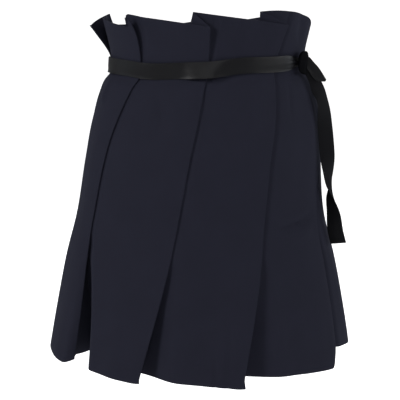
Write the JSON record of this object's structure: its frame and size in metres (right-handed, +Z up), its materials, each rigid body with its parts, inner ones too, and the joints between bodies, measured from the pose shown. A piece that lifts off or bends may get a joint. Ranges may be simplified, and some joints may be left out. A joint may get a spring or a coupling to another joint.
{
  "type": "pleated mini skirt",
  "caption": "Flared pleated mini skirt with a paper-bag frill above a ribbon belt tied at the side, in worn form with an open waist and hem.",
  "frame": {"origin": "centre of the waist, level with the middle of the ribbon belt, where the wearer holds the skirt", "axes": "+Z up, -Y towards the front, +X towards the wearer's left, where the belt is tied"},
  "size_m": [0.4133, 0.329, 0.4656],
  "materials": {
    "navy_crepe": "matt fine crepe",
    "black_satin_ribbon": "soft satin"
  },
  "bodies": {
    "root": {"panel_front_left": "navy_crepe", "panel_side_front_left": "navy_crepe", "panel_side_back_left": "navy_crepe", "panel_back_left": "navy_crepe", "panel_back_right": "navy_crepe", "panel_side_back_right": "navy_crepe", "panel_side_front_right": "navy_crepe", "panel_front_right": "navy_crepe", "belt_band": "black_satin_ribbon", "belt_knot": "black_satin_ribbon", "belt_long_end": "black_satin_ribbon", "belt_short_end": "black_satin_ribbon"}
  },
  "joints": []
}
